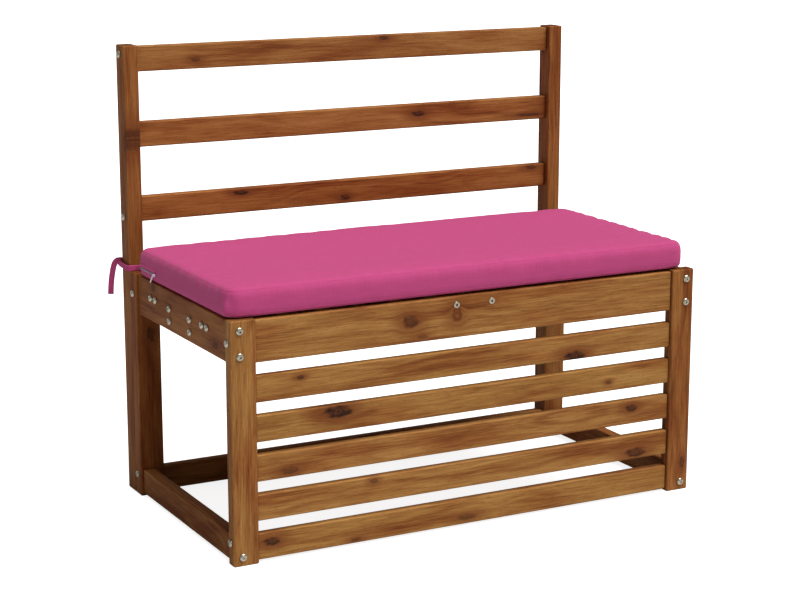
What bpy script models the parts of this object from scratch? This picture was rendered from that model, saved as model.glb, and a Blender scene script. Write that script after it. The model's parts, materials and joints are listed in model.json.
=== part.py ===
"""Slatted garden bench in oiled hardwood, with a zipped box cushion tied to its back posts.

Metres, +Z up. X runs along the bench, the back is at +Y, and the floor is at Z = 0. The origin
is on the floor, in the middle of the bench's width and of its depth over the wood.
"""

import bmesh
import bpy
from math import cos, pi, radians, sin
from mathutils import Matrix, Vector

GAP = 0.0003  # left between pieces that touch

# Overall sizes
BENCH_WIDTH = 1.000
BASE_DEPTH = 0.501  # front stiles' front face to rear stiles' back face
SEAT_HEIGHT = 0.4575  # top of the stiles
BACK_HEIGHT = 0.900  # top of the back posts

# Uprights
STILE_WIDTH = 0.050
FRONT_STILE_DEPTH = 0.025
REAR_STILE_DEPTH = 0.031
POST_WIDTH = 0.031
POST_DEPTH = 0.042
EDGE_ROUNDING = 0.003

# Slatted front screen and the aprons level with it
PANEL_INSET = 0.0055  # outer face of aprons and slats, behind the stiles' outer faces
APRON_HEIGHT = 0.079
APRON_DROP = 0.0032  # apron tops below the stile tops
FRONT_APRON_THICKNESS = 0.0192
SLAT_COUNT = 5
SLAT_HEIGHT = 0.050
SLAT_THICKNESS = 0.018
FLOOR_CLEARANCE = 0.005  # lowest boards above the floor

# Side and rear boards of the base
SIDE_THICKNESS = 0.025
STRETCHER_HEIGHT = 0.050
REAR_BOARD_THICKNESS = 0.020

# Seat: bearers between the side aprons, and slats that run front to back on them
BEARER_WIDTH = 0.050
BEARER_THICKNESS = 0.022
FLAT_BEARER_PLACES = (0.238, 0.818)  # shares of the clear depth between the stiles
EDGE_BEARER_PLACES = (0.398, 0.627)
SEAT_SLAT_COUNT = 12
SEAT_END_MARGIN = 0.0066  # outermost slats clear of the stiles, along X
SEAT_SLAT_WIDTH = 0.050
SEAT_SLAT_THICKNESS = 0.0217

# Back rails between the posts
BACK_RAIL_NAMES = ("back_rail_low", "back_rail_middle", "back_rail_top")
BACK_RAIL_HEIGHT = 0.050
BACK_RAIL_THICKNESS = 0.020
BACK_RAIL_INSET = 0.013  # behind the posts' front faces
TOP_RAIL_DROP = 0.003  # below the post tops
LOW_RAIL_ABOVE_SEAT = 0.094

# Domed socket bolts
SHANK_RADIUS = 0.003
HEAD_RADIUS = 0.0075
HEAD_HEIGHT = 0.004
SOCKET_RADIUS = 0.0025
SOCKET_DEPTH = 0.002
BITE = 0.030  # length of shank in the second piece
BORE_CLEARANCE = 0.0003
FACE_BOLT_MARGIN = 0.016  # from the side apron's upper and lower edges
LOW_FACE_BOLT_MARGIN = 0.0125  # above the side stretcher's lower edge
LOW_SIDE_BOLT_MARGIN = 0.012  # below the upper edge of the lowest boards
SEAT_BOLT_RISE = 0.006  # above the seat slats' undersides
POST_BOLT_MARGIN = 0.0150  # below the top rail's upper edge
LOW_POST_BOLT_MARGIN = 0.0105  # above the low rail's lower edge

# Cushion
CUSHION_ALLOWANCE = 0.008  # how much narrower it is than the bench
CUSHION_THICKNESS = 0.058
CUSHION_SHIFT = -0.008  # its middle, to the left of the bench's middle
CUSHION_SETBACK = 0.005  # behind the front stiles' front faces
CUSHION_TO_POSTS = 0.041  # from its rear face, a length that the ties span
CUSHION_ROUNDING = 0.012
COVER_WALL = 0.0015
FOAM_CLEARANCE = 0.0005

# Zip round the rear of the cover
ZIP_WRAP = 0.1105  # along each side of the cushion, from its rear face
ZIP_ABOVE_BOTTOM = 0.018
ZIP_SLIT = 0.0045
SLIDER_LENGTH = 0.009
SLIDER_HEIGHT = 0.006
SLIDER_THICKNESS = 0.0022
PIN_RADIUS = 0.0008
PULL_LENGTH = 0.025  # pin to tip
PULL_WIDTH = 0.004
PULL_THICKNESS = 0.001
PULL_EYE_RADIUS = 0.0012
PULL_LEAN = radians(42)  # from hanging straight down, towards the rear

# Ties: narrow straps, as offsets from the outer front corner of a back post at seat height:
# inwards, backwards and up
TIE_RADIUS = 0.004
TIE_STEP = 0.009  # between points along a strap
FRONT_TIE_ROUTE = (
    (0.0260, -0.0410, 0.0062),
    (0.0255, -0.0340, 0.0060),
    (0.0230, -0.0240, 0.0060),
    (0.0180, -0.0140, 0.0060),
    (0.0110, -0.0070, 0.0060),
    (0.0040, -0.0056, 0.0060),
    (-0.0026, -0.0046, 0.0060),
    (-0.0052, 0.0010, 0.0060),
    (-0.0056, 0.0120, 0.0062),
    (-0.0056, 0.0240, 0.0070),
    (-0.0060, 0.0340, 0.0082),
    (-0.0064, 0.0400, 0.0090),
)
BACK_TIE_ROUTE = (
    (0.0500, -0.0410, 0.0062),
    (0.0495, -0.0330, 0.0062),
    (0.0460, -0.0200, 0.0064),
    (0.0400, -0.0080, 0.0068),
    (0.0370, 0.0040, 0.0072),
    (0.0364, 0.0160, 0.0076),
    (0.0366, 0.0300, 0.0082),
    (0.0368, 0.0400, 0.0088),
    (0.0340, 0.0466, 0.0092),
    (0.0270, 0.0490, 0.0098),
    (0.0180, 0.0494, 0.0106),
    (0.0080, 0.0500, 0.0116),
    (0.0000, 0.0506, 0.0128),
    (-0.0060, 0.0512, 0.0130),
    (-0.0105, 0.0516, 0.0098),
    (-0.0136, 0.0520, 0.0030),
    (-0.0164, 0.0520, -0.0080),
    (-0.0188, 0.0520, -0.0210),
    (-0.0205, 0.0520, -0.0340),
    (-0.0214, 0.0520, -0.0460),
    (-0.0218, 0.0520, -0.0550),
)

# Places worked out from the sizes
RIGHT = BENCH_WIDTH / 2
POST_FRONT_OFFSET = BASE_DEPTH + GAP  # behind the front stiles' front faces
WOOD_DEPTH = POST_FRONT_OFFSET + POST_DEPTH
FRONT = -WOOD_DEPTH / 2
FRONT_STILE_BACK = FRONT + FRONT_STILE_DEPTH
REAR_STILE_BACK = FRONT + BASE_DEPTH
REAR_STILE_FRONT = REAR_STILE_BACK - REAR_STILE_DEPTH
POST_FRONT = FRONT + POST_FRONT_OFFSET
POST_BACK = POST_FRONT + POST_DEPTH
APRON_TOP = SEAT_HEIGHT - APRON_DROP
APRON_BOTTOM = APRON_TOP - APRON_HEIGHT
PANEL_FRONT = FRONT + PANEL_INSET
SIDE_OUTER = RIGHT - PANEL_INSET
SIDE_INNER = SIDE_OUTER - SIDE_THICKNESS
REAR_BOARD_FRONT = REAR_STILE_FRONT + PANEL_INSET
REAR_BOARD_BACK = REAR_BOARD_FRONT + REAR_BOARD_THICKNESS
STRETCHER_TOP = FLOOR_CLEARANCE + STRETCHER_HEIGHT
BEARER_TOP = APRON_TOP - SEAT_SLAT_THICKNESS - GAP
RAIL_FRONT = POST_FRONT + BACK_RAIL_INSET
TOP_RAIL_BOTTOM = BACK_HEIGHT - TOP_RAIL_DROP - BACK_RAIL_HEIGHT
LOW_RAIL_BOTTOM = SEAT_HEIGHT + LOW_RAIL_ABOVE_SEAT
CUSHION_WIDTH = BENCH_WIDTH - CUSHION_ALLOWANCE
CUSHION_BOTTOM = SEAT_HEIGHT + 2 * GAP
CUSHION_LEFT = CUSHION_SHIFT - CUSHION_WIDTH / 2
CUSHION_FRONT = FRONT + CUSHION_SETBACK
CUSHION_BACK = POST_FRONT - CUSHION_TO_POSTS - GAP
CUSHION_DEPTH = CUSHION_BACK - CUSHION_FRONT
CUSHION_LOW = Vector((CUSHION_LEFT, CUSHION_FRONT, CUSHION_BOTTOM))
CUSHION_HIGH = CUSHION_LOW + Vector((CUSHION_WIDTH, CUSHION_DEPTH, CUSHION_THICKNESS))
ZIP_START = CUSHION_BACK - ZIP_WRAP
ZIP_HEIGHT = CUSHION_BOTTOM + ZIP_ABOVE_BOTTOM


def empty_scene():
    for old in list(bpy.data.objects):
        bpy.data.objects.remove(old)


def new_collection(name):
    collection = bpy.data.collections.new(name)
    bpy.context.scene.collection.children.link(collection)
    return collection


def new_material(name, colour, roughness, metallic=0.0):
    material = bpy.data.materials.new(name)
    material.use_nodes = True
    material.diffuse_color = (*colour, 1)
    shader = material.node_tree.nodes["Principled BSDF"]
    shader.inputs["Base Color"].default_value = (*colour, 1)
    shader.inputs["Roughness"].default_value = roughness
    shader.inputs["Metallic"].default_value = metallic
    return material


def place(name, mesh, material=None, location=(0, 0, 0), rotation=(0, 0, 0)):
    """A part when it has a material, and otherwise a cutter."""
    obj = bpy.data.objects.new(name, mesh)
    obj.location = location
    obj.rotation_euler = rotation
    (parts if material else cutters).objects.link(obj)
    if material:
        if not mesh.materials:
            mesh.materials.append(material)
    else:
        obj.hide_render = True
        obj.display_type = "WIRE"
    return obj


def box_mesh(name, size):
    bm = bmesh.new()
    bmesh.ops.create_cube(bm, size=1)
    bmesh.ops.scale(bm, vec=Vector(size), verts=bm.verts)
    mesh = bpy.data.meshes.new(name)
    bm.to_mesh(mesh)
    bm.free()
    return mesh


def cylinder_mesh(name, radius, length, segments=12):
    """A cylinder along +Z, with its foot at the origin."""
    bm = bmesh.new()
    bmesh.ops.create_cone(
        bm,
        cap_ends=True,
        segments=segments,
        radius1=radius,
        radius2=radius,
        depth=length,
        matrix=Matrix.Translation((0, 0, length / 2)),
    )
    mesh = bpy.data.meshes.new(name)
    bm.to_mesh(mesh)
    bm.free()
    return mesh


def box(name, low, high, material=None):
    low, high = Vector(low), Vector(high)
    return place(name, box_mesh(name, high - low), material, (low + high) / 2)


def rounded(obj, radius, segments=1):
    bevel = obj.modifiers.new("rounded_edges", "BEVEL")
    bevel.limit_method = "NONE"
    bevel.width = radius
    bevel.segments = segments
    return obj


def combine(obj, other, operation):
    boolean = obj.modifiers.new(other.name, "BOOLEAN")
    boolean.operation = operation
    boolean.solver = "EXACT"
    boolean.object = other


def shaped_mesh(obj):
    """The mesh that an object's modifiers make."""
    seen = obj.evaluated_get(bpy.context.evaluated_depsgraph_get())
    return bpy.data.meshes.new_from_object(seen)


def board(name, low, high):
    """A planed board with its edges eased."""
    return rounded(box(name, low, high, wood), EDGE_ROUNDING)


def mirrored(side, near, far):
    """An X range that is given for the right-hand side, on either side."""
    return (near, far) if side > 0 else (-far, -near)


def make_uprights():
    for side, word in SIDES:
        x0, x1 = mirrored(side, RIGHT - STILE_WIDTH, RIGHT)
        board(f"front_stile_{word}", (x0, FRONT, 0), (x1, FRONT_STILE_BACK, SEAT_HEIGHT))
        board(
            f"rear_stile_{word}",
            (x0, REAR_STILE_FRONT, 0),
            (x1, REAR_STILE_BACK, SEAT_HEIGHT),
        )
        x0, x1 = mirrored(side, RIGHT - POST_WIDTH, RIGHT)
        board(f"back_post_{word}", (x0, POST_FRONT, 0), (x1, POST_BACK, BACK_HEIGHT))


def make_screen():
    half = RIGHT - STILE_WIDTH - GAP
    back = PANEL_FRONT + FRONT_APRON_THICKNESS
    board("front_apron", (-half, PANEL_FRONT, APRON_BOTTOM), (half, back, APRON_TOP))
    spare = APRON_BOTTOM - FLOOR_CLEARANCE - SLAT_COUNT * SLAT_HEIGHT
    pitch = SLAT_HEIGHT + spare / SLAT_COUNT
    for i in range(SLAT_COUNT):
        bottom = FLOOR_CLEARANCE + i * pitch
        board(
            f"front_slat_{i + 1}",
            (-half, PANEL_FRONT, bottom),
            (half, PANEL_FRONT + SLAT_THICKNESS, bottom + SLAT_HEIGHT),
        )


def make_side_and_rear_boards():
    y0, y1 = FRONT_STILE_BACK + GAP, REAR_STILE_FRONT - GAP
    for side, word in SIDES:
        x0, x1 = mirrored(side, SIDE_INNER, SIDE_OUTER)
        board(f"side_apron_{word}", (x0, y0, APRON_BOTTOM), (x1, y1, APRON_TOP))
        board(f"side_stretcher_{word}", (x0, y0, FLOOR_CLEARANCE), (x1, y1, STRETCHER_TOP))
    half = RIGHT - STILE_WIDTH - GAP
    for name, low, high in (
        ("rear_apron", APRON_BOTTOM, APRON_TOP),
        ("rear_bottom_rail", FLOOR_CLEARANCE, STRETCHER_TOP),
    ):
        board(name, (-half, REAR_BOARD_FRONT, low), (half, REAR_BOARD_BACK, high))


def seat_slat_centres():
    """The slats are spread evenly over the width between the stiles, less the end margins."""
    last = RIGHT - STILE_WIDTH - SEAT_END_MARGIN - SEAT_SLAT_WIDTH / 2
    return [last * (2 * i / (SEAT_SLAT_COUNT - 1) - 1) for i in range(SEAT_SLAT_COUNT)]


def make_seat():
    half = SIDE_INNER - GAP
    clear_depth = REAR_STILE_FRONT - FRONT_STILE_BACK
    flat = (BEARER_WIDTH, BEARER_THICKNESS)
    on_edge = (BEARER_THICKNESS, BEARER_WIDTH)
    sections = {share: flat for share in FLAT_BEARER_PLACES}
    sections.update({share: on_edge for share in EDGE_BEARER_PLACES})
    for i, share in enumerate(sorted(sections)):
        deep, high = sections[share]
        y = FRONT_STILE_BACK + share * clear_depth
        board(
            f"seat_bearer_{i + 1}",
            (-half, y - deep / 2, BEARER_TOP - high),
            (half, y + deep / 2, BEARER_TOP),
        )
    y0 = PANEL_FRONT + FRONT_APRON_THICKNESS + GAP
    for i, x in enumerate(seat_slat_centres()):
        board(
            f"seat_slat_{i + 1}",
            (x - SEAT_SLAT_WIDTH / 2, y0, BEARER_TOP + GAP),
            (x + SEAT_SLAT_WIDTH / 2, REAR_BOARD_FRONT - GAP, APRON_TOP),
        )


def make_back_rails():
    half = RIGHT - POST_WIDTH - GAP
    pitch = (TOP_RAIL_BOTTOM - LOW_RAIL_BOTTOM) / (len(BACK_RAIL_NAMES) - 1)
    for i, name in enumerate(BACK_RAIL_NAMES):
        bottom = LOW_RAIL_BOTTOM + i * pitch
        board(
            name,
            (-half, RAIL_FRONT, bottom),
            (half, RAIL_FRONT + BACK_RAIL_THICKNESS, bottom + BACK_RAIL_HEIGHT),
        )


def bolt_mesh(grip):
    """A turned bolt along -Z with a hex socket in its domed head, which sits on Z = 0."""
    rise = [radians(a) for a in (0, 22.5, 45, 67.5)]
    dome = [(HEAD_RADIUS * cos(a), GAP + HEAD_HEIGHT * sin(a)) for a in reversed(rise)]
    shank = [(SHANK_RADIUS, GAP), (SHANK_RADIUS, -grip - BITE), (0, -grip - BITE)]
    profile = [(0, GAP + HEAD_HEIGHT), *dome, *shank]
    mesh = bpy.data.meshes.new("bolt")
    points = [(r, 0, z) for r, z in profile]
    mesh.from_pydata(points, [(i, i + 1) for i in range(len(points) - 1)], [])
    turned = place("bolt_blank", mesh, steel)
    screw = turned.modifiers.new("turned", "SCREW")
    screw.steps = screw.render_steps = 12
    screw.use_merge_vertices = True
    screw.merge_threshold = 0.00001
    hexagon = cylinder_mesh("socket", SOCKET_RADIUS, SOCKET_DEPTH + HEAD_HEIGHT, 6)
    socket = place("socket", hexagon, None, (0, 0, GAP + HEAD_HEIGHT - SOCKET_DEPTH))
    combine(turned, socket, "DIFFERENCE")
    result = shaped_mesh(turned)
    result.shade_smooth()
    result.set_sharp_from_angle(angle=radians(35))
    for spare in (turned, socket):
        bpy.data.objects.remove(spare)
    return result


def make_bolt(name, head, towards, grip, through, into):
    """A bolt whose head lies on the first piece at head, and whose shank goes towards the second."""
    towards = Vector(towards)
    if grip not in bolt_meshes:
        bolt_meshes[grip] = bolt_mesh(grip)
    down, up = Vector((0, 0, -1)), Vector((0, 0, 1))
    turn = down.rotation_difference(towards).to_euler()
    place(name, bolt_meshes[grip], steel, head, turn)
    reach = grip + BITE + BORE_CLEARANCE
    bore = cylinder_mesh(f"{name}_bore", SHANK_RADIUS + BORE_CLEARANCE, 2 * reach)
    turn = up.rotation_difference(towards).to_euler()
    cutter = place(f"{name}_bore", bore, None, head - reach * towards, turn)
    for piece in (through, into):
        combine(bpy.data.objects[piece], cutter, "DIFFERENCE")


def make_bolts():
    x = (SIDE_INNER + SIDE_OUTER) / 2
    slat_x = seat_slat_centres()
    middle = SEAT_SLAT_COUNT // 2
    for side, word in SIDES:
        stile = f"front_stile_{word}"
        for place_name, z, into in (
            ("upper", APRON_TOP - FACE_BOLT_MARGIN, f"side_apron_{word}"),
            ("middle", APRON_BOTTOM + FACE_BOLT_MARGIN, f"side_apron_{word}"),
            ("lower", FLOOR_CLEARANCE + LOW_FACE_BOLT_MARGIN, f"side_stretcher_{word}"),
        ):
            head = Vector((side * x, FRONT, z))
            name = f"face_bolt_{place_name}_{word}"
            make_bolt(name, head, (0, 1, 0), FRONT_STILE_DEPTH, stile, into)
        n = middle if side > 0 else middle - 1
        head = Vector((slat_x[n], PANEL_FRONT, BEARER_TOP + GAP + SEAT_BOLT_RISE))
        grip, into = FRONT_APRON_THICKNESS, f"seat_slat_{n + 1}"
        make_bolt(f"seat_bolt_{word}", head, (0, 1, 0), grip, "front_apron", into)

    front_y = PANEL_FRONT + SLAT_THICKNESS / 2
    rear_y = (REAR_BOARD_FRONT + REAR_BOARD_BACK) / 2
    rail_y = RAIL_FRONT + BACK_RAIL_THICKNESS / 2
    apron_z = (APRON_TOP + APRON_BOTTOM) / 2
    slat_z = FLOOR_CLEARANCE + SLAT_HEIGHT - LOW_SIDE_BOLT_MARGIN
    rail_z = STRETCHER_TOP - LOW_SIDE_BOLT_MARGIN
    top_z = TOP_RAIL_BOTTOM + BACK_RAIL_HEIGHT - POST_BOLT_MARGIN
    low_z = LOW_RAIL_BOTTOM + LOW_POST_BOLT_MARGIN
    for name, y, z, grip, through, into in (
        ("front_upper", front_y, apron_z, STILE_WIDTH, "front_stile", "front_apron"),
        ("front_lower", front_y, slat_z, STILE_WIDTH, "front_stile", "front_slat_1"),
        ("rear_upper", rear_y, apron_z, STILE_WIDTH, "rear_stile", "rear_apron"),
        ("rear_lower", rear_y, rail_z, STILE_WIDTH, "rear_stile", "rear_bottom_rail"),
        ("post_upper", rail_y, top_z, POST_WIDTH, "back_post", "back_rail_top"),
        ("post_lower", rail_y, low_z, POST_WIDTH, "back_post", "back_rail_low"),
    ):
        head = Vector((-RIGHT, y, z))
        make_bolt(f"side_bolt_{name}", head, (1, 0, 0), grip, f"{through}_left", into)


def rounded_cover(name, material):
    """The cushion's outer shape as a thin shell."""
    shell = rounded(box(name, CUSHION_LOW, CUSHION_HIGH, material), CUSHION_ROUNDING, 3)
    wall = shell.modifiers.new("wall", "SOLIDIFY")
    wall.thickness = COVER_WALL
    wall.offset = -1
    wall.use_even_offset = True
    return shell


def zip_block(name, clearance):
    """The part of the cover that the zip fills, less a clearance all round."""
    reach = Vector((CUSHION_ROUNDING, CUSHION_ROUNDING, 0))
    half = ZIP_SLIT / 2 - clearance
    low = Vector((CUSHION_LOW.x, ZIP_START + clearance + CUSHION_ROUNDING, ZIP_HEIGHT - half))
    high = Vector((CUSHION_HIGH.x, CUSHION_BACK, ZIP_HEIGHT + half))
    return box(name, low - reach, high + reach)


def make_cushion():
    inset = COVER_WALL + FOAM_CLEARANCE
    margin = Vector((inset, inset, inset))
    block = box("cushion_foam", CUSHION_LOW + margin, CUSHION_HIGH - margin, foam)
    rounded(block, CUSHION_ROUNDING - inset, 3)
    cover = rounded_cover("cushion_cover", fabric)
    combine(cover, zip_block("zip_slit", 0), "DIFFERENCE")
    tape = rounded_cover("zip_tape", zip_cloth)
    combine(tape, zip_block("zip_tape_block", GAP), "INTERSECT")


def make_zip_slider():
    """The slider and its pull stand on the cushion's left side, at the zip's front end."""
    inner = CUSHION_LEFT - GAP
    outer = inner - SLIDER_THICKNESS
    y = ZIP_START + SLIDER_LENGTH / 2
    low = (outer, y - SLIDER_LENGTH / 2, ZIP_HEIGHT - SLIDER_HEIGHT / 2)
    high = (inner, y + SLIDER_LENGTH / 2, ZIP_HEIGHT + SLIDER_HEIGHT / 2)
    slider = rounded(box("zip_slider", low, high, zip_metal), SLIDER_THICKNESS / 4)
    pin_length = SLIDER_THICKNESS / 2 + PULL_THICKNESS + 2 * GAP
    pin = place(
        "zip_pin",
        cylinder_mesh("zip_pin", PIN_RADIUS, pin_length),
        None,
        (outer + SLIDER_THICKNESS / 2, y, ZIP_HEIGHT),
        (0, -pi / 2, 0),
    )
    combine(slider, pin, "UNION")

    bm = bmesh.new()
    for z in (0, PULL_WIDTH / 2 - PULL_LENGTH):
        bmesh.ops.create_cone(
            bm,
            cap_ends=True,
            segments=16,
            radius1=PULL_WIDTH / 2,
            radius2=PULL_WIDTH / 2,
            depth=PULL_THICKNESS,
            matrix=Matrix.Translation((0, 0, z)) @ Matrix.Rotation(pi / 2, 4, "Y"),
        )
    bmesh.ops.delete(bm, geom=bm.faces[:] + bm.edges[:], context="EDGES_FACES")
    bmesh.ops.convex_hull(bm, input=bm.verts)
    mesh = bpy.data.meshes.new("zip_pull")
    bm.to_mesh(mesh)
    bm.free()
    x = outer - GAP - PULL_THICKNESS / 2
    pull = place("zip_pull", mesh, zip_metal, (x, y, ZIP_HEIGHT), (PULL_LEAN, 0, 0))
    eye_mesh = cylinder_mesh("pull_eye", PULL_EYE_RADIUS, 3 * PULL_THICKNESS)
    eye_x = x + 1.5 * PULL_THICKNESS
    eye = place("pull_eye", eye_mesh, None, (eye_x, y, ZIP_HEIGHT), (0, -pi / 2, 0))
    combine(pull, eye, "DIFFERENCE")


def smooth_route(points, step):
    """Points about a step apart on the Catmull-Rom curve through the given ones."""
    ends = [2 * points[0] - points[1], *points, 2 * points[-1] - points[-2]]
    route = [points[0]]
    for before, a, b, after in zip(ends, ends[1:], ends[2:], ends[3:]):
        count = max(1, round((b - a).length / step))
        for i in range(1, count + 1):
            t = i / count
            bend = (2 * before - 5 * a + 4 * b - after) * t * t
            turn = (3 * a - before - 3 * b + after) * t * t * t
            route.append((2 * a + (b - before) * t + bend + turn) / 2)
    return route


def make_tie(name, side, offsets):
    corner = Vector((side * RIGHT, POST_FRONT, SEAT_HEIGHT))
    points = [corner + Vector((-side * x, y, z)) for x, y, z in offsets]
    route = smooth_route(points, TIE_STEP)
    curve = bpy.data.curves.new(name, "CURVE")
    curve.dimensions = "3D"
    curve.bevel_depth = TIE_RADIUS
    curve.bevel_resolution = 2
    curve.use_fill_caps = True
    spline = curve.splines.new("POLY")
    spline.points.add(len(route) - 1)
    for point, at in zip(spline.points, route):
        point.co = (*at, 1)
    curve.materials.append(fabric)
    parts.objects.link(bpy.data.objects.new(name, curve))


SIDES = ((-1, "left"), (1, "right"))

empty_scene()
parts = new_collection("garden_bench")
cutters = new_collection("cutters")
wood = new_material("oiled_hardwood", (0.27, 0.12, 0.045), 0.5)
steel = new_material("zinc_plated_steel", (0.62, 0.58, 0.48), 0.35, 1.0)
fabric = new_material("pink_fabric", (0.53, 0.07, 0.22), 0.85)
foam = new_material("foam", (0.85, 0.82, 0.7), 0.95)
zip_cloth = new_material("zip_tape", (0.55, 0.4, 0.5), 0.6)
zip_metal = new_material("zip_metal", (0.75, 0.7, 0.75), 0.35, 0.8)
bolt_meshes = {}

make_uprights()
make_screen()
make_side_and_rear_boards()
make_seat()
make_back_rails()
make_bolts()
make_cushion()
make_zip_slider()
for tie_side, side_word in SIDES:
    make_tie(f"tie_{side_word}_front", tie_side, FRONT_TIE_ROUTE)
    make_tie(f"tie_{side_word}_back", tie_side, BACK_TIE_ROUTE)
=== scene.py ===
"""Slatted garden bench in oiled acacia, with a zipped box cushion tied to its back posts.

Metres, +Z up. X runs along the bench, the back is at +Y, and the floor is at Z = 0.
"""

import bmesh
import bpy
import json
from math import cos, exp, hypot, pi, radians, sin
from mathutils import Matrix, Vector, noise
from mathutils.bvhtree import BVHTree


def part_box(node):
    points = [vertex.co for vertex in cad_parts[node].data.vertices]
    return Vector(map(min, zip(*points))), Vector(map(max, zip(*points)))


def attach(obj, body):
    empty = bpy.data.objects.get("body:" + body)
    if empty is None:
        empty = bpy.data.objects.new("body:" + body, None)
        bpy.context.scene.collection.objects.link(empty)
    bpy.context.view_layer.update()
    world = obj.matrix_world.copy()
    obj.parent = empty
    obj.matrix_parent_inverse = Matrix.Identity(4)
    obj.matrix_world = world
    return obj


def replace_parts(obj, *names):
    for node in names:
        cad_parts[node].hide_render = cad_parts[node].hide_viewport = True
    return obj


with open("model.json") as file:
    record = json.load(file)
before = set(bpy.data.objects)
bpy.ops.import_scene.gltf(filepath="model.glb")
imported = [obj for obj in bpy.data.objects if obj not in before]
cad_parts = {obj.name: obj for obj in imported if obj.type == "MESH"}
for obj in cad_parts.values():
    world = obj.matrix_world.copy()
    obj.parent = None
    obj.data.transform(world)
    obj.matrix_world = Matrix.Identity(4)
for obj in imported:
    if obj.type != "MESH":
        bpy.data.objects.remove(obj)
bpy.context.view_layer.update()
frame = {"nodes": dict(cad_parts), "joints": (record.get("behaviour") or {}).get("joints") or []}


# ---------------- Stiles and back posts
# The uprights are sawn from acacia, planed, and rounded over along every edge before they are
# oiled. The sawn face shows curved growth bands, short dark pores and a few pin knots, and the
# ends show the same bands cut across.

ARRIS = 0.003  # radius of the rounded edges
LIGHT_BAND = (0.410, 0.213, 0.066, 1)
HONEY_BAND = (0.350, 0.168, 0.047, 1)
BROWN_BAND = (0.262, 0.108, 0.029, 1)
RED_BAND = (0.140, 0.041, 0.012, 1)
RED_ZONE = (0.84, 0.66, 0.60, 1)
KNOT_DARK = (0.014, 0.007, 0.005, 1)
KNOT_HEART = (0.062, 0.019, 0.008, 1)
KNOT_HALO = (0.165, 0.044, 0.012, 1)
WORN_EDGE = (0.46, 0.25, 0.09, 1)
RINGS_PER_METRE = 230.0
DRIFTS_PER_METRE = 2.6  # how often a band changes along the board
RING_WANDER = 0.030
EDGE_WIDTH = 0.004  # how far in from an edge the wood is worn paler
GRAIN_RELIEF = 0.0003


def add(tree, kind, inputs=(), **settings):
    """Adds a shader node, and fills its inputs with values or with other nodes' outputs."""
    node = tree.nodes.new("ShaderNode" + kind)
    for name, value in settings.items():
        setattr(node, name, value)
    for key, value in dict(inputs).items():
        if isinstance(value, bpy.types.NodeSocket):
            tree.links.new(value, node.inputs[key])
        else:
            node.inputs[key].default_value = value
    return node


def calc(tree, operation, *values):
    return add(tree, "Math", enumerate(values), operation=operation).outputs[0]


def calc_vector(tree, operation, *values):
    node = add(tree, "VectorMath", enumerate(values), operation=operation)
    return node.outputs["Value" if operation == "LENGTH" else "Vector"]


def fade(tree, value, start, end):
    """0 up to start and 1 from end on, with a soft turn between them."""
    inputs = {"Value": value, "From Min": start, "From Max": end}
    return add(tree, "MapRange", inputs, interpolation_type="SMOOTHSTEP").outputs[0]


def mix(tree, share, first, second, way="MIX"):
    inputs = {0: share, 6: first, 7: second}
    return add(tree, "Mix", inputs, data_type="RGBA", blend_type=way).outputs[2]


def cloud(tree, place, stretch=(1, 1, 1), detail=2.0, roughness=0.5):
    """Noise around a half, with a cycle of about one over stretch along each axis."""
    inputs = {
        "Vector": calc_vector(tree, "MULTIPLY", place, stretch),
        "Scale": 1.0,
        "Detail": detail,
        "Roughness": roughness,
    }
    return add(tree, "TexNoise", inputs)


def new_group(name, takes, gives):
    """An empty node group, with its input sockets to read and its output sockets to fill."""
    tree = bpy.data.node_groups.new(name, "ShaderNodeTree")
    for way, sockets in (("INPUT", takes), ("OUTPUT", gives)):
        for label, kind in sockets.items():
            tree.interface.new_socket(label, in_out=way, socket_type="NodeSocket" + kind)
    return tree, tree.nodes.new("NodeGroupInput").outputs, tree.nodes.new("NodeGroupOutput").inputs


def grain_group():
    """Growth bands round the heart of the log, with fibres and pores along it. X is along the board."""
    takes = {"Place": "Vector", "Heart": "Vector", "Seed": "Float"}
    gives = {"Bands": "Float", "Fibre": "Float", "Pores": "Float", "Mottle": "Float", "Streaks": "Float"}
    tree, given, out = new_group("sawn_grain", takes, gives)
    seeded = calc_vector(tree, "ADD", given["Place"], given["Heart"])
    moved = add(tree, "CombineXYZ", {0: given["Seed"]}).outputs[0]
    place = calc_vector(tree, "ADD", seeded, moved)
    slow = cloud(tree, place, (3.5, 11, 11)).outputs["Color"]
    centred = calc_vector(tree, "SUBTRACT", slow, (0.5, 0.5, 0.5))
    wander = calc_vector(tree, "MULTIPLY", centred, (0, RING_WANDER, RING_WANDER))
    from_heart = calc_vector(tree, "SUBTRACT", given["Place"], given["Heart"])
    across = calc_vector(tree, "MULTIPLY", from_heart, (0, 1, 1))
    ring = calc_vector(tree, "LENGTH", calc_vector(tree, "ADD", across, wander))
    along = add(tree, "SeparateXYZ", {0: place}).outputs[0]
    drift = calc(tree, "MULTIPLY", along, DRIFTS_PER_METRE)
    rings = calc(tree, "MULTIPLY", ring, RINGS_PER_METRE)
    strip = add(tree, "CombineXYZ", {0: drift, 1: rings, 2: given["Seed"]}).outputs[0]
    bands = cloud(tree, strip, detail=4.0, roughness=0.55).outputs[0]
    tree.links.new(bands, out["Bands"])
    tree.links.new(cloud(tree, place, (22, 700, 700), 3.0, 0.6).outputs[0], out["Fibre"])
    short = cloud(tree, place, (75, 800, 800), 1.0).outputs[0]
    tree.links.new(fade(tree, short, 0.60, 0.72), out["Pores"])
    tree.links.new(cloud(tree, place, (4, 26, 26), 2.0).outputs[0], out["Mottle"])
    tree.links.new(cloud(tree, place, (14, 330, 330), 4.0, 0.66).outputs[0], out["Streaks"])
    return tree


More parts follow.
